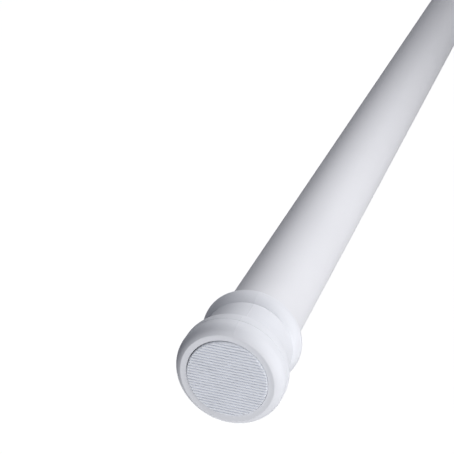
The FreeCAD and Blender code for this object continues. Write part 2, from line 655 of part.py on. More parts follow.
def make_compression_spring():
    """Coil spring with closed turns at both ends, which are ground flat."""
    length = value("Sizes.spring_length")
    radius = value("Fits.spring_radius")
    wire = value("Sizes.spring_wire")
    closed_turns = value("Sizes.spring_closed_turns")
    closed_pitch = wire + value("Sizes.press_gap")
    open_turns = value("Sizes.spring_turns")
    open_pitch = (length - 2 * closed_turns * closed_pitch) / open_turns
    turns = open_turns + 2 * closed_turns
    sections = []
    for step in range(round(turns * STEPS_PER_TURN) + 1):
        turn = step / STEPS_PER_TURN
        opened = min(max(turn - closed_turns, 0), open_turns)
        along = opened * open_pitch + (turn - opened) * closed_pitch
        sections.append(coil_section(along, 2 * math.pi * turn, radius, wire))
    coil = Part.makeLoft(sections, True, True)
    reach = 2 * radius
    ground = Part.makeBox(length, 2 * reach, 2 * reach, vector(0, -reach, -reach))
    spring = document.addObject("Part::Feature", "compression_spring")
    spring.Label = "compression_spring"
    spring.Shape = coil.common(ground).Solids[0]
    spring.Placement.Base = vector(value("Fits.spring_place"))
    return spring


def make_parts():
    """Build every piece of the rod, from the first wall to the second."""
    return [
        make_pad("outer_pad"),
        make_cap("outer_end_cap", "Fits.first_face"),
        make_outer_tube(),
        make_mouth_sleeve(),
        make_screw("lock_screw", "Fits.lock_screw_place"),
        make_guide_disc(),
        make_washer("thrust_washer", "Fits.washer_place", "Sizes.washer_radius", "Fits.washer_bore",
                    "Sizes.washer_thickness"),
        make_cam_core(),
        make_cam_ring(),
        make_plunger(),
        make_guide_bush(),
        make_washer("stop_washer", "Fits.shaft_end", "Fits.stop_radius", "Fits.screw_hole",
                    "Sizes.stop_thickness"),
        make_screw("stop_screw", "Fits.stop_screw_place", turned_round=True),
        make_compression_spring(),
        make_spring_seat(),
        make_seat_pin(),
        make_inner_tube(),
        make_reducer_bush(),
        make_cap("inner_end_cap", "Fits.second_face", turned_round=True),
        make_pad("inner_pad", "Fits.rest_reach", turned_round=True),
    ]


def check_document():
    """Stop if any object of the document failed."""
    document.recompute()
    for item in document.Objects:
        if "Invalid" in item.State or "Error" in item.State:
            raise ValueError(f"{item.Label} failed: {item.State}")


def export(parts):
    """Check each piece and write it to its own file."""
    os.makedirs("parts", exist_ok=True)
    for part in parts:
        shape = part.Shape
        if shape.isNull() or not shape.isValid() or len(shape.Solids) != 1:
            raise ValueError(f"{part.Label} isn't one valid solid")
        shape.exportStep(f"parts/{part.Label}.step")
        box = shape.BoundBox
        print(f"{part.Label:20s} x {box.XMin:8.2f} to {box.XMax:8.2f}  volume {shape.Volume:9.1f} mm3")


pieces = make_parts()
check_document()
export(pieces)
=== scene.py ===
"""Spring tension rod, dressed for rendering: moulded caps and pads, painted tubes, inner lock.

The rod lies along +X in metres, and its first pad's face is at the origin, as in the frame.
Sizes below are in millimetres and are named as a maker would name them.
"""

import logging
import math
from dataclasses import dataclass
from enum import Enum
from typing import Optional, Sequence

import bpy
import numpy as np
from mathutils import Matrix, Vector


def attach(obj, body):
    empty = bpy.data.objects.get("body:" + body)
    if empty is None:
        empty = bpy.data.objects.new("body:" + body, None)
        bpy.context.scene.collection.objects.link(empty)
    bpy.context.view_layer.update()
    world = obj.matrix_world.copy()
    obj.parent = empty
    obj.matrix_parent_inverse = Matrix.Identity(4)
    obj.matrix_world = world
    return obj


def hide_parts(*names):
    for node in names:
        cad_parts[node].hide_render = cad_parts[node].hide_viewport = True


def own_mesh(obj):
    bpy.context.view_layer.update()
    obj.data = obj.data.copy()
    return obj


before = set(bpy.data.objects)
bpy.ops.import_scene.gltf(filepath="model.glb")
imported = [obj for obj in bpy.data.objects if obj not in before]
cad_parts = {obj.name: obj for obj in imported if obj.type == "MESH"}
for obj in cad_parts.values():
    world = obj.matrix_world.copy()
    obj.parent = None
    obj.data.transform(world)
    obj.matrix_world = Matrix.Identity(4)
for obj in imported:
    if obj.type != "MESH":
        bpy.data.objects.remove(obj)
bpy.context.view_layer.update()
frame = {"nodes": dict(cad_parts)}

MM = 0.001
FULL_TURN = 2.0 * math.pi
QUARTER = 0.5 * math.pi

# In millimetres: a path's end closer to the axis than the first is closed by a pole, and points
# of a path closer to each other than the second are one.
ON_AXIS = 1e-9
SAME_POINT = 1e-7
# Stands in for a normal's length where it has none.
NO_LENGTH = 1e-20
# Fine lines and seams are bells. They are cut off at this many half widths, and get this many
# points across. Even steps around a cap stay this many bunches away from a seam's middle.
BELL_REACH = 2.5
LINE_POINTS = 15
SEAM_POINTS = 13
SEAM_CLEARANCE = 1.5

log = logging.getLogger("tension_rod")


class Slot(Enum):
    """Material slots of the record."""

    TUBE = "painted_tube"
    CAP = "cap_plastic"
    PAD = "pad_rubber"
    SLEEVE = "sleeve_plastic"
    NYLON = "nylon"
    STEEL = "steel"
    SPRING = "spring_steel"


class Grain(Enum):
    """How the fine texture of a finish lies on a piece."""

    EVEN = (1.0, 1.0, 1.0)
    ALONG_ROD = (0.03, 1.0, 1.0)
    AROUND_ROD = (1.0, 0.12, 0.12)


class Effects:
    """Node groups that more than one finish uses, each built once."""

    def __init__(self) -> None:
        """Build both groups."""
        self.grain = self._build_grain()
        self.handling = self._build_handling()

    @staticmethod
    def _new_group(name: str, inputs: Sequence[tuple],
                   outputs: Sequence[tuple]) -> bpy.types.NodeTree:
        """Make an empty group with named sockets.

        Args:
            name: the group's name.
            inputs: name, socket type and default of each input.
            outputs: name and socket type of each output.

        Returns:
            The node tree, with its input and output nodes in place.
        """
        tree = bpy.data.node_groups.new(name, "ShaderNodeTree")
        for label, kind, default in inputs:
            socket = tree.interface.new_socket(name=label, in_out="INPUT", socket_type=kind)
            if default is not None:
                socket.default_value = default
        for label, kind in outputs:
            tree.interface.new_socket(name=label, in_out="OUTPUT", socket_type=kind)
        tree.nodes.new("NodeGroupInput").name = "in"
        tree.nodes.new("NodeGroupOutput").name = "out"
        return tree

    def _build_grain(self) -> bpy.types.NodeTree:
        """Build the grain: fine noise on broad noise, as a height and as a roughness.

        Returns:
            A group with the outputs Height, from 0 to 1, and Roughness, between two limits.
        """
        tree = self._new_group(
            "surface_grain",
            [("Vector", "NodeSocketVector", None), ("Fine", "NodeSocketFloat", 2500.0),
             ("Broad", "NodeSocketFloat", 120.0), ("Share", "NodeSocketFloat", 0.5),
             ("Smoothest", "NodeSocketFloat", 0.3), ("Roughest", "NodeSocketFloat", 0.4)],
            [("Height", "NodeSocketFloat"), ("Roughness", "NodeSocketFloat")])
        nodes, links = tree.nodes, tree.links
        source, target = nodes["in"], nodes["out"]
        fine = nodes.new("ShaderNodeTexNoise")
        fine.inputs["Detail"].default_value = 3.0
        broad = nodes.new("ShaderNodeTexNoise")
        broad.inputs["Detail"].default_value = 2.0
        for noise, label in ((fine, "Fine"), (broad, "Broad")):
            links.new(source.outputs["Vector"], noise.inputs["Vector"])
            links.new(source.outputs[label], noise.inputs["Scale"])
        mix = nodes.new("ShaderNodeMix")
        links.new(source.outputs["Share"], mix.inputs[0])
        links.new(fine.outputs["Fac"], mix.inputs[2])
        links.new(broad.outputs["Fac"], mix.inputs[3])
        spread = nodes.new("ShaderNodeMapRange")
        spread.inputs["From Min"].default_value = 0.3
        spread.inputs["From Max"].default_value = 0.7
        links.new(mix.outputs[0], spread.inputs["Value"])
        links.new(source.outputs["Smoothest"], spread.inputs["To Min"])
        links.new(source.outputs["Roughest"], spread.inputs["To Max"])
        links.new(mix.outputs[0], target.inputs["Height"])
        links.new(spread.outputs["Result"], target.inputs["Roughness"])
        return tree

    def _build_handling(self) -> bpy.types.NodeTree:
        """Build the handling marks: soft cloudy patches where dust or hands dull a surface.

        Returns:
            A group that blends two colours by a cloudy mask and puts out the blend.
        """
        tree = self._new_group(
            "handling_marks",
            [("Vector", "NodeSocketVector", None), ("Scale", "NodeSocketFloat", 30.0),
             ("Amount", "NodeSocketFloat", 0.3),
             ("Clean", "NodeSocketColor", (0.8, 0.8, 0.8, 1.0)),
             ("Marked", "NodeSocketColor", (0.7, 0.7, 0.7, 1.0))],
            [("Color", "NodeSocketColor")])
        nodes, links = tree.nodes, tree.links
        source, target = nodes["in"], nodes["out"]
        cloud = nodes.new("ShaderNodeTexNoise")
        cloud.inputs["Detail"].default_value = 5.0
        cloud.inputs["Roughness"].default_value = 0.6
        links.new(source.outputs["Vector"], cloud.inputs["Vector"])
        links.new(source.outputs["Scale"], cloud.inputs["Scale"])
        edge = nodes.new("ShaderNodeMapRange")
        edge.interpolation_type = "SMOOTHSTEP"
        edge.inputs["From Min"].default_value = 0.45
        edge.inputs["From Max"].default_value = 0.75
        links.new(cloud.outputs["Fac"], edge.inputs["Value"])
        links.new(source.outputs["Amount"], edge.inputs["To Max"])
        mix = nodes.new("ShaderNodeMix")
        mix.data_type = "RGBA"
        links.new(edge.outputs["Result"], mix.inputs[0])
        links.new(source.outputs["Clean"], mix.inputs[6])
        links.new(source.outputs["Marked"], mix.inputs[7])
        links.new(mix.outputs[2], target.inputs["Color"])
        return tree


@dataclass(frozen=True)
class Finish:
    """One finish of the rod, as a maker would specify it.

    The colours are linear. Fine, broad and cloud are noise scales per metre, amount is how far
    the marked colour may show, and relief and depth (of the light under a surface) are in
    millimetres.
    """

    slot: Slot
    colour: tuple
    marked: tuple
    smoothest: float
    roughest: float
    fine: float = 2500.0
    broad: float = 120.0
    relief: float = 0.02
    grain: Grain = Grain.EVEN
    amount: float = 0.3
    cloud: float = 30.0
    specular: float = 0.5
    metallic: float = 0.0
    depth: float = 0.0

    def build(self, effects: Effects) -> bpy.types.Material:
        """Make the material: marks for its colour, grain for its roughness and relief.

        Args:
            effects: the shared node groups.

        Returns:
            The finished material.
        """
        material = bpy.data.materials.new(self.slot.value)
        material.use_nodes = True
        nodes, links = material.node_tree.nodes, material.node_tree.links
        shader = nodes["Principled BSDF"]
        place = nodes.new("ShaderNodeTexCoord")
        lay = nodes.new("ShaderNodeMapping")
        lay.inputs["Scale"].default_value = self.grain.value
        links.new(place.outputs["Object"], lay.inputs["Vector"])
        grain = nodes.new("ShaderNodeGroup")
        grain.node_tree = effects.grain
        for label, number in (("Fine", self.fine), ("Broad", self.broad),
                              ("Smoothest", self.smoothest), ("Roughest", self.roughest)):
            grain.inputs[label].default_value = number
        links.new(lay.outputs["Vector"], grain.inputs["Vector"])
        marks = nodes.new("ShaderNodeGroup")
        marks.node_tree = effects.handling
        marks.inputs["Scale"].default_value = self.cloud
        marks.inputs["Amount"].default_value = self.amount
        marks.inputs["Clean"].default_value = (*self.colour, 1.0)
        marks.inputs["Marked"].default_value = (*self.marked, 1.0)
        links.new(place.outputs["Object"], marks.inputs["Vector"])
        bump = nodes.new("ShaderNodeBump")
        bump.inputs["Strength"].default_value = 1.0
        bump.inputs["Distance"].default_value = self.relief * MM
        links.new(grain.outputs["Height"], bump.inputs["Height"])
        links.new(marks.outputs["Color"], shader.inputs["Base Color"])
        links.new(grain.outputs["Roughness"], shader.inputs["Roughness"])
        links.new(bump.outputs["Normal"], shader.inputs["Normal"])
        shader.inputs["Metallic"].default_value = self.metallic
        shader.inputs["Specular IOR Level"].default_value = self.specular
        if self.depth:
            shader.inputs["Subsurface Weight"].default_value = 1.0
            shader.inputs["Subsurface Scale"].default_value = self.depth * MM
            shader.inputs["Subsurface Radius"].default_value = (1.0, 0.9, 0.8)
        return material


FINISHES = (
    Finish(Slot.TUBE, (0.82, 0.82, 0.85), (0.79, 0.79, 0.82), 0.60, 0.68,
           fine=1400.0, broad=300.0, relief=0.005, amount=0.5, cloud=18.0, specular=0.12),
    Finish(Slot.CAP, (0.82, 0.83, 0.87), (0.78, 0.79, 0.83), 0.56, 0.64,
           fine=3200.0, broad=260.0, relief=0.003, amount=0.5, cloud=60.0, specular=0.1),
    Finish(Slot.PAD, (0.88, 0.90, 0.95), (0.84, 0.86, 0.91), 0.58, 0.68,
           fine=4200.0, broad=400.0, relief=0.004, amount=0.8, cloud=160.0, specular=0.2),
    Finish(Slot.SLEEVE, (0.83, 0.83, 0.85), (0.79, 0.79, 0.81), 0.42, 0.52,
           fine=3000.0, broad=200.0, relief=0.004, amount=0.5, cloud=60.0, specular=0.25),
    Finish(Slot.NYLON, (0.76, 0.74, 0.67), (0.68, 0.66, 0.58), 0.38, 0.5,
           fine=2600.0, broad=180.0, relief=0.01, amount=0.8, cloud=90.0, specular=0.4, depth=1.0),
    Finish(Slot.STEEL, (0.62, 0.63, 0.65), (0.50, 0.51, 0.54), 0.24, 0.4,
           fine=3600.0, broad=500.0, relief=0.006, grain=Grain.AROUND_ROD, amount=0.8,
           cloud=140.0, metallic=1.0),
    Finish(Slot.SPRING, (0.42, 0.43, 0.45), (0.30, 0.30, 0.31), 0.26, 0.42,
           fine=3000.0, broad=300.0, relief=0.01, grain=Grain.ALONG_ROD, amount=0.9,
           cloud=80.0, metallic=1.0),
)


def rounded_path(corners: Sequence[tuple], steps: int = 6) -> np.ndarray:
    """Round every corner of an open path by its own radius.

    A corner's arc leaves both edges at radius times the tangent of half the turn, and its points
    are the centre plus the radius at evenly spaced angles. All corners are worked out at once.

    Args:
        corners: across, up and radius of each corner. The two ends are kept as they are.
        steps: chords in each arc.

    Returns:
        The path's points, one row each.
    """
    points = np.array([corner[:2] for corner in corners], float)
    radius = np.array([corner[2] for corner in corners[1:-1]], float)[:, None]
    into = points[1:-1] - points[:-2]
    out = points[2:] - points[1:-1]
    into /= np.linalg.norm(into, axis=1, keepdims=True)
    out /= np.linalg.norm(out, axis=1, keepdims=True)
    across_turn = into[:, 0] * out[:, 1] - into[:, 1] * out[:, 0]
    turned = np.arctan2(across_turn, (into * out).sum(1))[:, None]
    start = points[1:-1] - into * radius * np.tan(np.abs(turned) / 2)
    side = np.sign(turned) * np.stack([-into[:, 1], into[:, 0]], 1)
    centre = start + side * radius
    angle = turned * np.linspace(0.0, 1.0, steps + 1)[None, :]
    spoke = start - centre
    across = centre[:, :1] + spoke[:, :1] * np.cos(angle) - spoke[:, 1:] * np.sin(angle)
    up = centre[:, 1:] + spoke[:, :1] * np.sin(angle) + spoke[:, 1:] * np.cos(angle)
    arcs = np.stack([across, up], 2).reshape(-1, 2)
    path = np.vstack([points[:1], arcs, points[-1:]])
    apart = np.linalg.norm(np.diff(path, axis=0), axis=1) > SAME_POINT
    return path[np.concatenate([[True], apart])]


def arc(centre: tuple, radius: float, first: float, last: float, steps: int) -> np.ndarray:
    """Return evenly spaced points of an arc: the centre plus the radius at each angle.

    Args:
        centre: across and up.
        radius: the arc's radius.
        first: its first angle, in degrees.
        last: its last angle, in degrees.
        steps: chords along it.

    Returns:
        The points, one row each.
    """
    angle = np.radians(np.linspace(first, last, steps + 1))
    return np.stack([centre[0] + radius * np.cos(angle), centre[1] + radius * np.sin(angle)], 1)


def scored(path: np.ndarray, place: float, width: float, depth: float) -> np.ndarray:
    """Cut a fine line around a turned skin, where the path runs along the rod.

    The radius loses the depth times a bell, e to the minus square of the distance over the width.
    The path gets closely spaced points there, read off between its own.

    Args:
        path: along and radius of each point.
        place: where the line lies along the rod.
        width: the bell's half width.
        depth: how deep the line is.

    Returns:
        The path with the line cut into it.
    """
    reach = BELL_REACH * width
    before = path[path[:, 0] < place - reach]
    after = path[path[:, 0] > place + reach]
    along = place + reach * np.linspace(-1.0, 1.0, LINE_POINTS)
    bell = depth * np.exp(-((along - place) / width) ** 2)
    radius = np.interp(along, path[:, 0], path[:, 1]) - bell
    return np.vstack([before, np.stack([along, radius], 1), after])


def area_normals(verts: np.ndarray, faces: np.ndarray) -> np.ndarray:
    """Return each vertex's normal, its faces' normals weighed by their areas.

    The cross product of a face's diagonals is its normal times twice its area, so large flats
    keep their direction and only the small rounded edges bend.

    Args:
        verts: one row per vertex.
        faces: four vertex numbers per face, the last two alike on a triangle.

    Returns:
        One unit normal per vertex.
    """
    one, two, three, four = verts[faces].transpose(1, 0, 2)
    cross = np.cross(three - one, four - two)
    total = np.zeros_like(verts)
    for column in range(4):
        np.add.at(total, faces[:, column], cross)
    length = np.linalg.norm(total, axis=1, keepdims=True)
    return total / np.maximum(length, NO_LENGTH)


def make_piece(name: str, verts: np.ndarray, faces: np.ndarray) -> bpy.types.Object:
    """Put a surface into a mesh, smoothly shaded by its area-weighed normals.

    Args:
        name: the piece's name.
        verts: vertices in millimetres, one row each.
        faces: four vertex numbers per face, the last two alike on a triangle.

    Returns:
        The new object, at the origin.
    """
    verts = verts * MM
    normals = area_normals(verts, faces)
    three = faces[:, 2] == faces[:, 3]
    sizes = np.where(three, 3, 4).astype(np.int32)
    loops = faces[np.stack([np.full_like(three, True)] * 3 + [~three], 1)]
    mesh = bpy.data.meshes.new(name)
    mesh.vertices.add(len(verts))
    mesh.vertices.foreach_set("co", verts.astype(np.float32).ravel())
    mesh.loops.add(len(loops))
    mesh.loops.foreach_set("vertex_index", loops.astype(np.int32))
    mesh.polygons.add(len(faces))
    starts = np.concatenate([[0], np.cumsum(sizes)[:-1]]).astype(np.int32)
    mesh.polygons.foreach_set("loop_start", starts)
    mesh.polygons.foreach_set("use_smooth", np.ones(len(faces), bool))
    mesh.update(calc_edges=True)
    mesh.validate()
    mesh.normals_split_custom_set_from_vertices([tuple(normal) for normal in normals])
    piece = bpy.data.objects.new(name, mesh)
    bpy.context.scene.collection.objects.link(piece)
    return piece


def even_angles(steps: int) -> np.ndarray:
    """Return the angles of evenly spaced steps around, without the closing one."""
    return np.linspace(0.0, FULL_TURN, steps, endpoint=False)


def turn(path: np.ndarray, angle: np.ndarray, swell: Optional[np.ndarray] = None) -> tuple:
    """Turn a path once around the rod's axis.

    Each point at (along, radius) gives a ring at radius times the cosine and sine of the angle.
    A path that starts or ends on the axis is closed there by one vertex, and any other path is
    a closed loop. The path runs so that the material lies on its right.

    Args:
        path: along the rod and away from it, one row per point.
        angle: the angles of the steps around, rising and less than a full turn.
        swell: what is added to the radius, one row per point and one column per angle.

    Returns:
        The vertices and the faces.
    """
    poles = [path[0, 1] < ON_AXIS, path[-1, 1] < ON_AXIS]
    kept = slice(int(poles[0]), len(path) - int(poles[1]))
    rings = path[kept]
    segments = len(angle)
    along = np.repeat(rings[:, 0], segments)
    radius = rings[:, 1][:, None]
    if swell is not None:
        radius = radius + swell[kept]
    across, up = radius * np.cos(angle), radius * np.sin(angle)
    verts = np.stack([along, across.ravel(), up.ravel()], 1)
    count = len(rings)
    row = np.arange(count - 1 if poles[0] else count)[:, None]
    here = np.arange(segments)[None, :]
    after = (here + 1) % segments
    lower, upper = row * segments, ((row + 1) % count) * segments
    faces = np.stack([lower + here, lower + after, upper + after, upper + here], 2)
    faces = faces.reshape(-1, 4)
    fans = []
    ends = ((poles[0], path[0], 0, True), (poles[1], path[-1], count - 1, False))
    for pole, place, ring, flip in ends:
        if pole:
            tip = len(verts)
            verts = np.vstack([verts, [[place[0], 0.0, 0.0]]])
            first, second = ring * segments + here[0], ring * segments + after[0]
            if flip:
                first, second = second, first
            tips = np.full(segments, tip)
            fans.append(np.stack([first, second, tips, tips], 1))
    return verts, np.vstack([faces, *fans])


def end_for_end(verts: np.ndarray, reach: float) -> np.ndarray:
    """Turn a piece end for end, half a turn about the upright axis, and carry it along.

    Its faces keep their order, because a half turn keeps the outside outside.

    Args:
        verts: the piece's vertices.
        reach: how far along the rod its own zero then lies.

    Returns:
        The vertices in their new place.
    """
    return verts * np.array([-1.0, -1.0, 1.0]) + np.array([reach, 0.0, 0.0])


@dataclass
class Assembly:
    """A sub-assembly: its pieces are built, dressed and set on the body that carries them."""

    body: str
    materials: dict

    def settle(self, piece: bpy.types.Object, slot: Slot, *nodes: str) -> None:
        """Dress a piece and let it stand for its nodes.

        Args:
            piece: the finished piece.
            slot: the material slot of its finish.
            nodes: the CAD nodes that it replaces.
        """
        piece.data.materials.append(self.materials[slot])
        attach(piece, self.body)
        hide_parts(*nodes)
        triangles = sum(len(polygon.vertices) - 2 for polygon in piece.data.polygons)
        log.info("%s: %d triangles on %s", piece.name, triangles, self.body)


@dataclass
class EndCap(Assembly):
    """Moulded cap and its ribbed pad. Places along it count from the cap's flat face.

    A fine line's numbers are its place, its half width and its depth. The crest's rings keep the
    level band between the shoulder and the rear lip flat, and the chords say how finely each arc
    is cut. The pad sits off the recess's middle by its shift. Its rows and columns are its grid,
    whose rows are drawn a little towards both tips of the circle.
    """

    prefix: str = "outer"
    face: float = 0.5
    turned_round: bool = False
    recess_radius: float = 12.85
    recess_depth: float = 2.0
    face_dish: float = 0.14
    socket_radius: float = 12.75
    socket_floor: float = 4.5
    length: float = 28.2
    face_radius: float = 14.75
    shoulder_length: float = 4.0
    flange_radius: float = 17.2
    lip_end: float = 11.2
    lip_length: float = 4.2
    lip_drop: float = 2.0
    neck_radius: float = 14.1
    neck_round: float = 1.0
    crease_place: float = 21.3
    crease_radius: float = 14.6
    collar_radius: float = 16.35
    collar_round: float = 2.8
    rim_radius: float = 13.55
    mouth_chamfer: float = 0.4
    inner_round: float = 0.1
    fine_round: float = 0.08
    crest_rings: tuple = (4.4, 5.2)
    crest_gap: float = 0.1
    flange_chords: int = 24
    collar_chords: int = 18
    neck_chords: int = 10
    steps_around: int = 240
    lip_line: tuple = (6.0, 0.18, 0.16)
    crease_line: tuple = (21.3, 0.2, 0.05)
    seam_angle: float = 95.0
    seam_width: float = 0.11
    seam_height: float = 0.05
    edge: float = 0.15
    pad_radius: float = 12.68
    pad_thickness: float = 2.5
    pad_proud: float = 0.5
    pad_edge: float = 0.4
    pad_shift: tuple = (0.0, -0.07, 0.06)
    pad_rows: int = 541
    pad_columns: int = 56
    tip_draw: float = 0.25
    tip_chord: float = 0.001
    rib_pitch: float = 0.95
    rib_depth: float = 0.46
    rib_gap: float = 0.22

    @staticmethod
    def crest_arc(place: float, run: float, low: float, high: float, chords: int) -> np.ndarray:
        """Return an arc that rises to a level crest and meets it without a corner.

        The arc's radius is the run squared plus the rise squared, over twice the rise, and it
        turns by twice the angle whose tangent is the rise over the run.

        Args:
            place: where the crest starts.
            run: how far before it the arc starts.
            low: radius at the arc's start.
            high: radius of the crest.
            chords: chords along the arc.

        Returns:
            Along and radius of each point.
        """
        rise = high - low
        bow = (run ** 2 + rise ** 2) / (2 * rise)
        lean = math.degrees(2 * math.atan(rise / run))
        return arc((place, high - bow), bow, 90.0 + lean, 90.0, chords)

    def skin(self) -> np.ndarray:
        """Return the outside, from the face's edge to the rim, with both fine lines cut in.

        The shoulder and the collar are arcs that meet their crests without a corner, the rear
        lip is a quarter ellipse, and the flange's crest between them is level. The end of the
        neck's rounding goes to the back part, whose fine line lies where neck and collar meet.

        Returns:
            Along and radius of each point.
        """
        shoulder = self.crest_arc(self.shoulder_length, self.shoulder_length,
                                  self.face_radius, self.flange_radius, self.flange_chords)
        lip_start = self.lip_end - self.lip_length
        rings = np.array([*self.crest_rings, lip_start - self.crest_gap])
        crest = np.stack([rings, np.full(len(rings), self.flange_radius)], 1)
        lip = arc((0.0, 0.0), 1.0, 90.0, 0.0, self.flange_chords)
        lip = lip * np.array([self.lip_length, self.lip_drop])
        lip = lip + np.array([lip_start, self.flange_radius - self.lip_drop])
        crest_place = self.length - self.collar_round
        collar = self.crest_arc(crest_place, crest_place - self.crease_place,
                                self.crease_radius, self.collar_radius, self.collar_chords)
        rear = arc((crest_place, self.rim_radius), self.collar_round, 90.0, 0.0,
                   self.collar_chords)
        neck = rounded_path([
            (self.lip_end, self.flange_radius - self.lip_drop, 0.0),
            (self.lip_end, self.neck_radius, self.neck_round),
            (*collar[0], 0.0),
        ], self.neck_chords)
        front = scored(np.vstack([shoulder, crest, lip[1:]]), *self.lip_line)
        back = scored(np.vstack([neck[-3:], collar[1:]]), *self.crease_line)
        return np.vstack([front, neck[1:-2], back[1:], rear[1:]])

    def outline(self) -> tuple:
        """Return the cap's outline, from the recess's middle over the outside to the socket's.

        The skin's first two points give way to the rounded edge of the face.

        Returns:
            Along and radius of each point, and one or nought for each point on the outside or not.
        """
        skin = self.skin()
        front = rounded_path([
            (self.recess_depth, 0.0, 0.0),
            (self.recess_depth, self.recess_radius, self.inner_round),
            (self.face_dish, self.recess_radius, self.fine_round),
            (0.0, self.face_radius, self.edge),
            (*skin[1], 0.0),
        ])
        socket = rounded_path([
            (*skin[-1], 0.0),
            (self.length, self.socket_radius + self.mouth_chamfer, self.fine_round),
            (self.length - self.mouth_chamfer, self.socket_radius, self.fine_round),
            (self.socket_floor, self.socket_radius, self.inner_round),
            (self.socket_floor, 0.0, 0.0),
        ])
        path = np.vstack([front, skin[2:], socket[1:]])
        outside = np.zeros(len(path))
        outside[len(front):len(front) + len(skin) - 2] = 1.0
        return path, outside

    def moulding(self) -> tuple:
        """Return the turned cap with the fine seam that its mould leaves along both sides.

        The seam's height is a bell, e to the minus square of the distance around over the width.
        The steps around are even but for a close bunch at each seam.

        Returns:
            The vertices and the faces.
        """
        path, outside = self.outline()
        seams = np.radians(self.seam_angle) + np.array([0.0, math.pi])
        bunch = np.linspace(-BELL_REACH, BELL_REACH, SEAM_POINTS)
        bunch = bunch * self.seam_width / self.flange_radius
        close = (seams[:, None] + bunch[None, :]).ravel()
        even = even_angles(self.steps_around)
        far = np.abs(even[:, None] - seams[None, :]).min(1) > bunch[-1] * SEAM_CLEARANCE
        angle = np.sort(np.concatenate([even[far], close]))
        around = np.abs(angle[:, None] - seams[None, :]).min(1)[None, :] * path[:, 1:]
        swell = outside[:, None] * self.seam_height * np.exp(-(around / self.seam_width) ** 2)
        return turn(path, angle, swell)

    def pad_surface(self) -> tuple:
        """Return the ribbed pad, its face towards -X and at zero along the rod.

        The face is a grid of level rows. A row at height z reaches from minus to plus the chord's
        half, the root of radius squared less z squared, with points drawn towards both ends by a
        cosine. Its depth is the larger of the groove between two ribs, a smooth step down and up,
        and the rounded edge, a quarter circle of the distance to the rim. The side and the back
        close it as a wall and a fan.

        Returns:
            The vertices and the faces.
        """
        rows, columns = self.pad_rows, self.pad_columns
        height = self.pad_radius * np.sin(np.linspace(-QUARTER, QUARTER, rows))
        even = np.linspace(-self.pad_radius, self.pad_radius, rows)
        height = self.tip_draw * height + (1.0 - self.tip_draw) * even
        spread = -np.cos(np.linspace(0.0, math.pi, columns))
        chord = np.sqrt(np.maximum(self.pad_radius ** 2 - height ** 2, self.tip_chord ** 2))
        across = chord[:, None] * spread[None, :]
        up = np.repeat(height[:, None], columns, 1)
        rim = np.clip(self.pad_radius - np.hypot(across, up), 0.0, self.pad_edge)
        level = self.pad_edge ** 2 - (self.pad_edge - rim) ** 2
        edge = self.pad_edge - np.sqrt(np.maximum(level, 0.0))
        phase = np.abs((up / self.rib_pitch + 0.5) % 1.0 - 0.5)
        from_groove = (0.5 - phase) * self.rib_pitch
        groove = np.clip(1.0 - from_groove / self.rib_gap, 0.0, 1.0)
        groove = groove * groove * (3.0 - 2.0 * groove)
        depth = np.maximum(edge, self.rib_depth * groove)
        front = np.stack([depth, across, up], 2).reshape(-1, 3)
        number = np.arange(rows * columns).reshape(rows, columns)
        quads = np.stack([number[:-1, :-1], number[1:, :-1], number[1:, 1:], number[:-1, 1:]], 2)
        quads = quads.reshape(-1, 4)
        loop = np.concatenate([number[:, 0], number[-1, 1:-1],
                               number[::-1, -1], number[0, -2:0:-1]])
        turned = np.arctan2(front[loop, 2], front[loop, 1])
        back = np.stack([np.full(len(loop), self.pad_thickness), self.pad_radius * np.cos(turned),
                         self.pad_radius * np.sin(turned)], 1)
        first = len(front)
        ring = first + np.arange(len(loop))
        after = np.roll(np.arange(len(loop)), -1)
        wall = np.stack([loop, ring, ring[after], loop[after]], 1)
        tip = first + len(loop)
        fan = np.stack([ring, np.full(len(loop), tip), ring[after], ring[after]], 1)
        middle = np.array([[self.pad_thickness, 0.0, 0.0]])
        return np.vstack([front, back, middle]), np.vstack([quads, wall, fan])

    def build(self) -> None:
        """Build the cap and its pad, facing the wall at their end of the rod."""
        verts, faces = self.moulding()
        verts = verts + np.array([self.pad_proud, 0.0, 0.0])
        pad_verts, pad_faces = self.pad_surface()
        pad_verts = pad_verts + np.array(self.pad_shift)
        if self.turned_round:
            reach = self.face + self.pad_proud
            verts = end_for_end(verts, reach)
            pad_verts = end_for_end(pad_verts, reach)
        cap = make_piece(f"{self.prefix}_cap_moulding", verts, faces)
        self.settle(cap, Slot.CAP, f"{self.prefix}_end_cap")
        pad = make_piece(f"{self.prefix}_pad_moulding", pad_verts, pad_faces)
        self.settle(pad, Slot.PAD, f"{self.prefix}_pad")


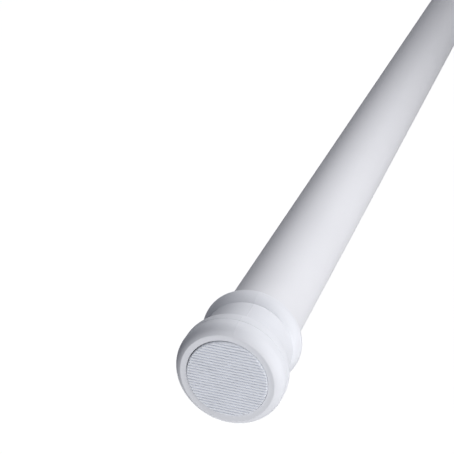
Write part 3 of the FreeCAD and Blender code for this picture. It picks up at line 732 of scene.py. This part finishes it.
@dataclass
class Tube(Assembly):
    """Painted steel tube with lightly broken edges.

    Each rounded end takes up its run of the tube, and the rings are spread between the ends.
    """

    name: str = "outer_tube"
    start: float = 5.0
    length: float = 675.0
    radius: float = 12.7
    wall: float = 0.8
    edge: float = 0.2
    end_run: float = 1.0
    rings: int = 33
    steps_around: int = 192
    pin_place: Optional[float] = None
    pin_radius: float = 1.55
    drill_overrun: float = 2.0
    drill_steps: int = 48

    def outline(self) -> np.ndarray:
        """Return the closed outline of the wall, with rings spread along both long sides.

        Returns:
            Along and radius of each point.
        """
        bore = self.radius - self.wall
        end = self.start + self.length
        rings = np.linspace(self.start, end, self.rings)[1:-1]
        outside = np.stack([rings, np.full(len(rings), self.radius)], 1)
        inside = np.stack([rings[::-1], np.full(len(rings), bore)], 1)
        middle = self.radius - self.wall / 2
        first, last = self.start + self.end_run, end - self.end_run
        near = rounded_path([(self.start, middle, 0.0), (self.start, self.radius, self.edge),
                             (first, self.radius, 0.0)])
        far = rounded_path([(last, self.radius, 0.0), (end, self.radius, self.edge),
                            (end, bore, self.edge), (last, bore, 0.0)])
        close = rounded_path([(first, bore, 0.0), (self.start, bore, self.edge),
                              (self.start, middle, 0.0)])
        return np.vstack([near, outside, far, inside, close[:-1]])

    def build(self) -> None:
        """Build the tube, and drill it for the seat's pin where it has one."""
        surface = turn(self.outline(), even_angles(self.steps_around))
        piece = make_piece(f"{self.name}_drawn", *surface)
        if self.pin_place is not None:
            self.drill(piece)
        self.settle(piece, Slot.TUBE, self.name)

    def drill(self, piece: bpy.types.Object) -> None:
        """Cut the upright pin hole through both walls.

        The drill is turned by half a step, so that none of its edges lies on an edge of the tube.

        Args:
            piece: the tube, whose mesh is replaced by the drilled one.
        """
        reach = self.radius + self.drill_overrun
        path = np.array([[-reach, 0.0], [-reach, self.pin_radius],
                         [reach, self.pin_radius], [reach, 0.0]])
        half_step = FULL_TURN / self.drill_steps / 2
        verts, faces = turn(path, even_angles(self.drill_steps) + half_step)
        upright = np.stack([self.pin_place + verts[:, 2], verts[:, 1], verts[:, 0]], 1)
        cutter = make_piece(f"{self.name}_drill", upright, faces[:, [3, 2, 1, 0]])
        cut = piece.modifiers.new("pin_hole", "BOOLEAN")
        cut.operation = "DIFFERENCE"
        cut.solver = "EXACT"
        cut.object = cutter
        evaluated = piece.evaluated_get(bpy.context.evaluated_depsgraph_get())
        drilled = bpy.data.meshes.new_from_object(evaluated)
        piece.modifiers.clear()
        piece.data = drilled
        bpy.data.objects.remove(cutter)


@dataclass
class Fittings(Assembly):
    """Turned plastic rings that centre one tube in the other or in its cap."""

    socket_radius: float = 12.75
    mouth_place: float = 680.0
    sleeve_grip: float = 12.0
    sleeve_wall: float = 1.2
    sleeve_lip: float = 2.0
    sleeve_rear_edge: float = 0.57
    sleeve_edge: float = 0.6
    sleeve_bore: float = 11.4
    sleeve_bore_edge: float = 0.25
    sleeve_inner_edge: float = 0.05
    sleeve_rear_bore_edge: float = 0.2
    sleeve_chords: int = 8
    sleeve_steps: int = 192
    reducer_place: float = 771.3
    reducer_end: float = 795.0
    reducer_radius: float = 12.7
    reducer_bore: float = 11.15
    reducer_edge: float = 0.1
    reducer_mouth_edge: float = 0.4
    reducer_steps: int = 160

    def sleeve_outline(self) -> np.ndarray:
        """Return the sleeve's closed outline, rounded at its outer edges.

        Returns:
            Along and radius of each point.
        """
        start, end = self.mouth_place - self.sleeve_grip, self.mouth_place + self.sleeve_lip
        outside = self.socket_radius + self.sleeve_wall
        middle = self.socket_radius + self.sleeve_wall / 2
        return rounded_path([
            (start, middle, 0.0),
            (start, outside, self.sleeve_rear_edge),
            (end, outside, self.sleeve_edge),
            (end, self.sleeve_bore, self.sleeve_bore_edge),
            (self.mouth_place, self.sleeve_bore, self.sleeve_inner_edge),
            (self.mouth_place, self.socket_radius, self.sleeve_inner_edge),
            (start, self.socket_radius, self.sleeve_rear_bore_edge),
            (start, middle, 0.0),
        ], self.sleeve_chords)[:-1]

    def reducer_outline(self) -> np.ndarray:
        """Return the reducer bush's closed outline, rounded at its mouth.

        Returns:
            Along and radius of each point.
        """
        middle = (self.reducer_radius + self.reducer_bore) / 2
        return rounded_path([
            (self.reducer_place, middle, 0.0),
            (self.reducer_place, self.reducer_radius, self.reducer_edge),
            (self.reducer_end, self.reducer_radius, self.reducer_edge),
            (self.reducer_end, self.reducer_bore, self.reducer_edge),
            (self.reducer_place, self.reducer_bore, self.reducer_mouth_edge),
            (self.reducer_place, middle, 0.0),
        ])[:-1]

    def build_sleeve(self) -> None:
        """Build the sleeve on the outer tube's mouth."""
        surface = turn(self.sleeve_outline(), even_angles(self.sleeve_steps))
        piece = make_piece("mouth_sleeve_moulding", *surface)
        self.settle(piece, Slot.SLEEVE, "mouth_sleeve")

    def build_reducer(self) -> None:
        """Build the bush between the second cap and the inner tube."""
        surface = turn(self.reducer_outline(), even_angles(self.reducer_steps))
        piece = make_piece("reducer_bush_moulding", *surface)
        self.settle(piece, Slot.SLEEVE, "reducer_bush")


@dataclass
class Coil(Assembly):
    """Compression spring behind the plunger: round wire, closed and ground at both ends."""

    place: float = 177.35
    length: float = 95.0
    mean_radius: float = 8.4
    wire: float = 1.8
    open_turns: float = 7.0
    closed_turns: float = 1.0
    turn_gap: float = 0.05
    stroke: float = 30.0
    rings_per_turn: int = 72
    sides: int = 16

    def surface(self) -> tuple:
        """Return the wire, a circle carried along the coil.

        The circle's middle lies at the mean radius times the cosine and sine of the angle turned,
        and moves along the rod by the closed pitch in the end turns and the open pitch between.
        Its points are half the wire times the cosine outwards and the sine along the rod. What
        would pass an end is pressed flat onto it, as the ground ends are.

        Returns:
            The vertices and the faces.
        """
        turns = self.open_turns + 2 * self.closed_turns
        turned = np.linspace(0.0, turns, round(turns * self.rings_per_turn) + 1)
        opened = np.clip(turned - self.closed_turns, 0.0, self.open_turns)
        closed_pitch = self.wire + self.turn_gap
        open_pitch = (self.length - 2 * self.closed_turns * closed_pitch) / self.open_turns
        middle = opened * open_pitch + (turned - opened) * closed_pitch
        angle = FULL_TURN * turned[:, None]
        around = even_angles(self.sides)[None, :]
        radius = self.mean_radius + self.wire / 2 * np.cos(around)
        along = np.clip(middle[:, None] + self.wire / 2 * np.sin(around), 0.0, self.length)
        rings = np.stack([self.place + along, radius * np.cos(angle), radius * np.sin(angle)], 2)
        both = angle[[0, -1], 0]
        ends = np.stack([self.place + middle[[0, -1]], self.mean_radius * np.cos(both),
                         self.mean_radius * np.sin(both)], 1)
        row = np.arange(len(turned) - 1)[:, None] * self.sides
        upper = row + self.sides
        here = np.arange(self.sides)[None, :]
        after = (here + 1) % self.sides
        wall = np.stack([row + after, row + here, upper + here, upper + after], 2)
        first = len(turned) * self.sides
        last_ring = first - self.sides
        tip = np.full(self.sides, first)
        near = np.stack([here[0], after[0], tip, tip], 1)
        far = np.stack([last_ring + after[0], last_ring + here[0], tip + 1, tip + 1], 1)
        return np.vstack([rings.reshape(-1, 3), ends]), np.vstack([wall.reshape(-1, 4), near, far])

    def build(self) -> None:
        """Build the spring and set it on its body."""
        piece = make_piece("compression_spring_coil", *self.surface())
        self.settle(piece, Slot.SPRING, "compression_spring")
        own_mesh(piece)


@dataclass
class InnerLock:
    """The twist lock inside the tubes, kept as the CAD nodes that its pieces are."""

    materials: dict
    dress: tuple = (
        (Slot.NYLON, ("guide_disc", "plunger", "cam_core", "cam_ring", "guide_bush",
                      "spring_seat")),
        (Slot.STEEL, ("thrust_washer", "lock_screw", "stop_washer", "stop_screw", "seat_pin")),
    )

    def build(self, nodes: dict) -> None:
        """Give each node its own finish.

        Args:
            nodes: the frame's nodes by name.
        """
        for slot, names in self.dress:
            for name in names:
                mesh = nodes[name].data
                mesh.materials.clear()
                mesh.materials.append(self.materials[slot])
                log.info("%s: CAD node in %s", name, slot.value)


@dataclass(frozen=True)
class Softbox:
    """A square lamp: name, place, the point that it faces, side in metres, watts and spread."""

    name: str
    place: tuple
    aim: tuple
    size: float
    power: float
    spread: float = 180.0

    def build(self) -> None:
        """Stand the lamp in the scene."""
        data = bpy.data.lights.new(self.name, "AREA")
        data.size = self.size
        data.energy = self.power
        data.spread = math.radians(self.spread)
        lamp = bpy.data.objects.new(self.name, data)
        lamp.location = self.place
        lamp.rotation_mode = "QUATERNION"
        lamp.rotation_quaternion = (Vector(self.aim) - Vector(self.place)).to_track_quat("-Z", "Y")
        bpy.context.scene.collection.objects.link(lamp)


@dataclass
class Setting:
    """Camera, lamps, pale floor and white surroundings, with lengths in metres."""

    camera_place: tuple = (-0.2792, -0.0861, 0.1938)
    forward: tuple = (0.8567, 0.2686, -0.4403)
    right: tuple = (0.3141, -0.9488, 0.0324)
    lens: float = 92.9
    sensor: float = 36.0
    clip: tuple = (0.01, 100.0)
    floor_height: float = -1.2
    floor_half: float = 12.0
    floor_grey: float = 0.6
    floor_glow: float = 0.94
    ambient: tuple = (0.105, 0.11, 0.13)
    lamps: tuple = (
        Softbox("key", (0.16, -0.32, 0.26), (0.0, 0.0, 0.0), 0.25, 0.5, 130.0),
        Softbox("front", (-0.22, -0.36, 0.26), (0.02, 0.0, 0.0), 0.3, 0.6),
        Softbox("low_front", (-0.5, -0.25, -0.3), (0.0, 0.0, 0.0), 0.3, 2.7),
        Softbox("top", (0.0, -0.22, 0.55), (0.03, 0.0, 0.0), 0.4, 0.95),
        Softbox("rim", (0.3, 0.55, 0.1), (0.05, 0.0, 0.0), 0.3, 0.2),
        Softbox("bounce", (0.65, 0.4, -0.8), (0.45, 0.0, 0.0), 0.5, 3.5),
        Softbox("far_end", (1.25, -0.3, 0.3), (0.8, 0.0, 0.0), 0.3, 0.3, 50.0),
        Softbox("far_tube", (0.8, -0.4, 0.4), (0.74, 0.0, 0.0), 0.25, 0.14, 55.0),
    )

    def add_camera(self) -> None:
        """Place the camera at the photograph's view: a plain pinhole with no shift."""
        data = bpy.data.cameras.new("camera")
        data.sensor_width = self.sensor
        data.lens = self.lens
        data.clip_start, data.clip_end = self.clip
        camera = bpy.data.objects.new("camera", data)
        forward = Vector(self.forward).normalized()
        right = Vector(self.right).normalized()
        up = right.cross(forward)
        turned = Matrix((right, up, -forward)).transposed()
        camera.matrix_world = Matrix.Translation(self.camera_place) @ turned.to_4x4()
        bpy.context.scene.collection.objects.link(camera)
        bpy.context.scene.camera = camera

    def add_world(self) -> None:
        """Let the camera and reflections see white, and light the rod by a dimmer ambient."""
        world = bpy.data.worlds.new("studio")
        world.use_nodes = True
        nodes, links = world.node_tree.nodes, world.node_tree.links
        nodes.clear()
        seen = nodes.new("ShaderNodeBackground")
        seen.inputs["Color"].default_value = (1.0, 1.0, 1.0, 1.0)
        dim = nodes.new("ShaderNodeBackground")
        dim.inputs["Color"].default_value = (*self.ambient, 1.0)
        links.new(self.seen_rays(nodes, links), self.mixed(nodes, links, dim, seen))
        bpy.context.scene.world = world

    @staticmethod
    def seen_rays(nodes: bpy.types.Nodes, links: bpy.types.NodeLinks) -> bpy.types.NodeSocket:
        """Mask the rays that see the white setting: camera, glossy and transmission.

        Args:
            nodes: the nodes of the tree that the mask is for.
            links: that tree's links.

        Returns:
            The socket that gives one for such a ray and nought for any other.
        """
        path = nodes.new("ShaderNodeLightPath")
        first = nodes.new("ShaderNodeMath")
        first.operation = "MAXIMUM"
        second = nodes.new("ShaderNodeMath")
        second.operation = "MAXIMUM"
        links.new(path.outputs["Is Camera Ray"], first.inputs[0])
        links.new(path.outputs["Is Glossy Ray"], first.inputs[1])
        links.new(first.outputs[0], second.inputs[0])
        links.new(path.outputs["Is Transmission Ray"], second.inputs[1])
        return second.outputs[0]

    @staticmethod
    def mixed(nodes: bpy.types.Nodes, links: bpy.types.NodeLinks, first: bpy.types.Node,
              second: bpy.types.Node) -> bpy.types.NodeSocket:
        """Mix two shaders into the tree's output.

        Args:
            nodes: the tree's nodes.
            links: the tree's links.
            first: the shader that shows where the factor is nought.
            second: the shader that shows where it is one.

        Returns:
            The mix's factor socket, still to be linked.
        """
        mix = nodes.new("ShaderNodeMixShader")
        links.new(first.outputs[0], mix.inputs[1])
        links.new(second.outputs[0], mix.inputs[2])
        output = nodes.new("ShaderNodeOutputWorld" if "Background" in first.bl_idname
                           else "ShaderNodeOutputMaterial")
        links.new(mix.outputs[0], output.inputs[0])
        return mix.inputs[0]

    def add_floor(self) -> None:
        """Lay a pale floor well below the rod, seen white but for the shadow that falls on it."""
        half, height = self.floor_half, self.floor_height
        corners = [(-half, -half, height), (half, -half, height),
                   (half, half, height), (-half, half, height)]
        mesh = bpy.data.meshes.new("floor")
        mesh.from_pydata(corners, [], [(0, 1, 2, 3)])
        floor = bpy.data.objects.new("floor", mesh)
        bpy.context.scene.collection.objects.link(floor)
        material = bpy.data.materials.new("floor_paper")
        # The glow is so wide that sampling it as a lamp would only add noise.
        material.cycles.emission_sampling = "NONE"
        material.use_nodes = True
        nodes, links = material.node_tree.nodes, material.node_tree.links
        nodes.clear()
        paper = nodes.new("ShaderNodeBsdfDiffuse")
        grey = self.floor_grey
        paper.inputs["Color"].default_value = (grey, grey, grey, 1.0)
        glow = nodes.new("ShaderNodeEmission")
        glow.inputs["Strength"].default_value = self.floor_glow
        both = nodes.new("ShaderNodeAddShader")
        links.new(paper.outputs[0], both.inputs[0])
        links.new(glow.outputs[0], both.inputs[1])
        links.new(self.seen_rays(nodes, links), self.mixed(nodes, links, paper, both))
        mesh.materials.append(material)

    def build(self) -> None:
        """Build the whole setting."""
        self.add_camera()
        for lamp in self.lamps:
            lamp.build()
        self.add_world()
        self.add_floor()
        bpy.context.scene.view_settings.view_transform = "Standard"


def main() -> None:
    """Build the rod and its setting, and report each piece."""
    logging.basicConfig(level=logging.INFO, format="%(name)s %(message)s")
    effects = Effects()
    materials = {finish.slot: finish.build(effects) for finish in FINISHES}
    EndCap("outer", materials).build()
    Tube("outer", materials).build()
    Fittings("outer", materials).build_sleeve()
    Tube("inner", materials, name="inner_tube", start=155.0, length=640.0, radius=11.1, wall=0.7,
         pin_place=276.35).build()
    Fittings("inner", materials).build_reducer()
    Coil("inner", materials).build()
    EndCap("inner", materials, prefix="inner", face=799.5, turned_round=True).build()
    InnerLock(materials).build(frame["nodes"])
    Setting().build()


if __name__ == "__main__":
    main()
